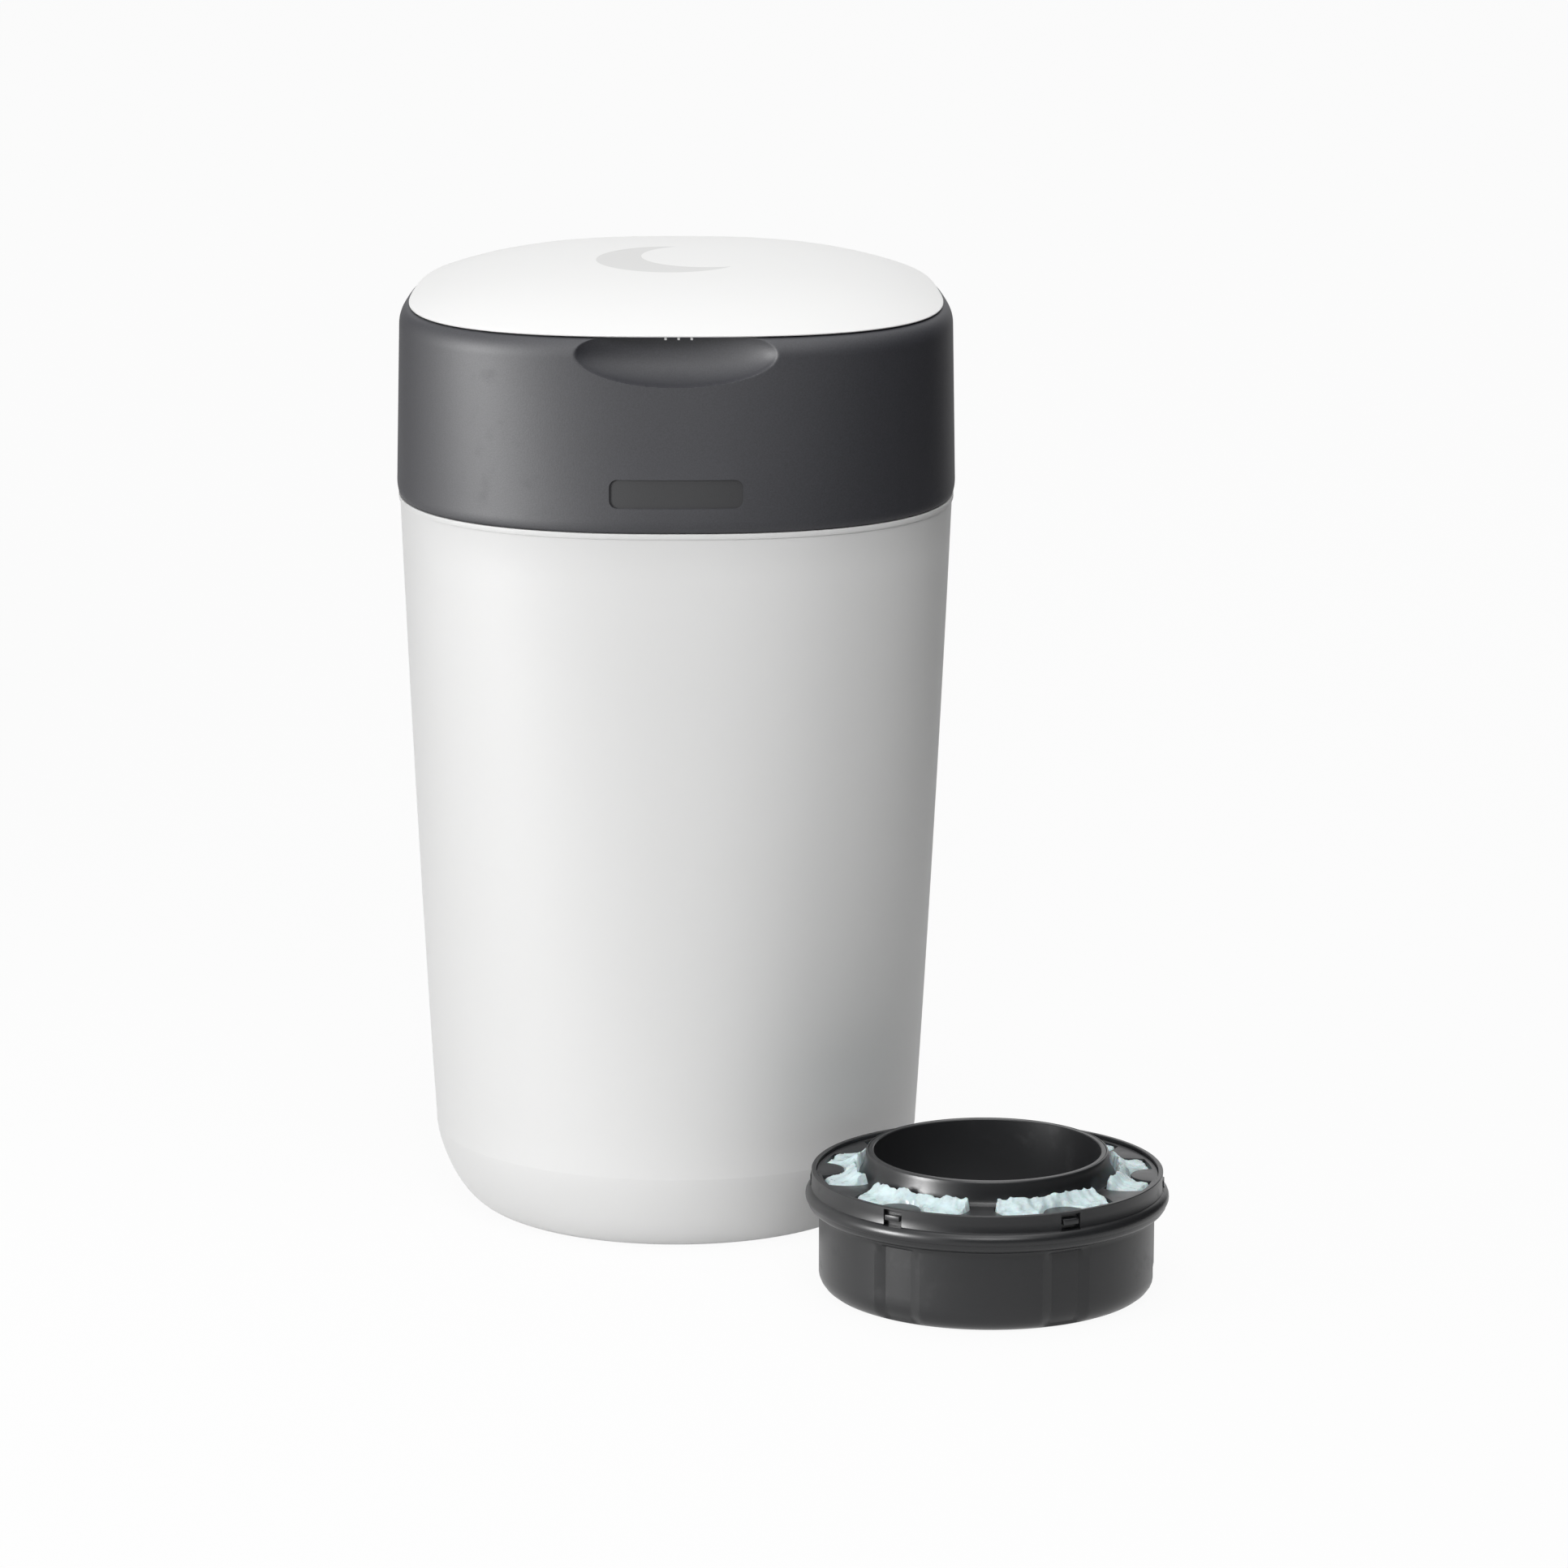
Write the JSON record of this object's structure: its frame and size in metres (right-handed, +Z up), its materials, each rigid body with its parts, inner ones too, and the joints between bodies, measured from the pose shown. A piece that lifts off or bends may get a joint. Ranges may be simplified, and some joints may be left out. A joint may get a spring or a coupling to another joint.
{
  "type": "nappy bin",
  "caption": "Tapering nappy bin with a lift-up head, twisting film carrier, domed lid with finger scoop, and a separate round film cassette.",
  "frame": {"origin": "centre of the bin's flat base, on the floor", "axes": "+Z up; the finger scoop faces -Y, the hinges are at +Y, and the cassette stands at +X, -Y"},
  "size_m": [0.3723, 0.4007, 0.4731],
  "materials": {
    "white_plastic": "satin white",
    "graphite_plastic": "fine matte grain, graphite grey",
    "charcoal_plastic": "satin, dark charcoal",
    "cassette_plastic": "semi-gloss charcoal",
    "aqua_plastic": "satin pale aqua",
    "steel": "plain",
    "seal_rubber": "soft",
    "film": "thin gathered film"
  },
  "bodies": {
    "tub": {"tub_shell": "white_plastic", "head_hinge_pin": "steel"},
    "head": {"band": "graphite_plastic", "deck": "graphite_plastic", "well": "charcoal_plastic", "pan": "charcoal_plastic", "gripper_ring": "charcoal_plastic", "click_spring": "steel", "deck_screws": "steel", "pan_screws": "steel", "gripper_screws": "steel", "cutter_housing": "graphite_plastic", "lid_hinge_pin": "steel"},
    "rotor": {"carrier": "charcoal_plastic", "twist_ring": "aqua_plastic"},
    "cutter": {"cutter_slider": "aqua_plastic", "cutter_blade": "steel"},
    "lid": {"lid_shell": "white_plastic", "lid_liner": "white_plastic", "seal_carrier": "white_plastic", "lid_seal": "seal_rubber"},
    "cassette": {"cassette_cup": "cassette_plastic", "cassette_cover": "cassette_plastic", "film_pack": "film"},
    "petal_arm_1": {"petal_1": "aqua_plastic"},
    "petal_arm_2": {"petal_2": "aqua_plastic"},
    "petal_arm_3": {"petal_3": "aqua_plastic"},
    "petal_arm_4": {"petal_4": "aqua_plastic"},
    "petal_arm_5": {"petal_5": "aqua_plastic"},
    "petal_arm_6": {"petal_6": "aqua_plastic"}
  },
  "joints": [
    {"name": "head_hinge", "type": "hinge", "parent": "tub", "child": "head", "pos_m": [0, 0.1417, 0.363], "axis": [-1, 0, 0], "range_deg": [0, 80]},
    {"name": "lid_hinge", "type": "hinge", "parent": "head", "child": "lid", "pos_m": [0, 0.1389, 0.4504], "axis": [-1, 0, 0], "range_deg": [0, 100]},
    {"name": "rotor_spin", "type": "hinge", "parent": "head", "child": "rotor", "pos_m": [0, 0, 0.366], "axis": [0, 0, 1], "continuous": true},
    {"name": "petal_1_hinge", "type": "hinge", "parent": "head", "child": "petal_arm_1", "pos_m": [0.066, 0, 0.3574], "axis": [0, -1, 0], "range_deg": [0, 50], "stiffness_Nm_per_rad": 0.02, "springref_deg": -28.65},
    {"name": "petal_2_hinge", "type": "hinge", "parent": "head", "child": "petal_arm_2", "pos_m": [0.033, 0.05716, 0.3574], "axis": [0.866, -0.5, 0], "range_deg": [0, 50], "stiffness_Nm_per_rad": 0.02, "springref_deg": -28.65},
    {"name": "petal_3_hinge", "type": "hinge", "parent": "head", "child": "petal_arm_3", "pos_m": [-0.033, 0.05716, 0.3574], "axis": [0.866, 0.5, 0], "range_deg": [0, 50], "stiffness_Nm_per_rad": 0.02, "springref_deg": -28.65},
    {"name": "petal_4_hinge", "type": "hinge", "parent": "head", "child": "petal_arm_4", "pos_m": [-0.066, 0, 0.3574], "axis": [0, 1, 0], "range_deg": [0, 50], "stiffness_Nm_per_rad": 0.02, "springref_deg": -28.65},
    {"name": "petal_5_hinge", "type": "hinge", "parent": "head", "child": "petal_arm_5", "pos_m": [-0.033, -0.05716, 0.3574], "axis": [-0.866, 0.5, 0], "range_deg": [0, 50], "stiffness_Nm_per_rad": 0.02, "springref_deg": -28.65},
    {"name": "petal_6_hinge", "type": "hinge", "parent": "head", "child": "petal_arm_6", "pos_m": [0.033, -0.05716, 0.3574], "axis": [-0.866, -0.5, 0], "range_deg": [0, 50], "stiffness_Nm_per_rad": 0.02, "springref_deg": -28.65},
    {"name": "cutter_slide", "type": "slide", "parent": "head", "child": "cutter", "axis": [1, 0, 0], "range_m": [0, 0.05]},
    {"name": "cassette_lift", "type": "slide", "parent": "tub", "child": "cassette", "axis": [0, 0, 1], "range_m": [0, 0.1]}
  ]
}
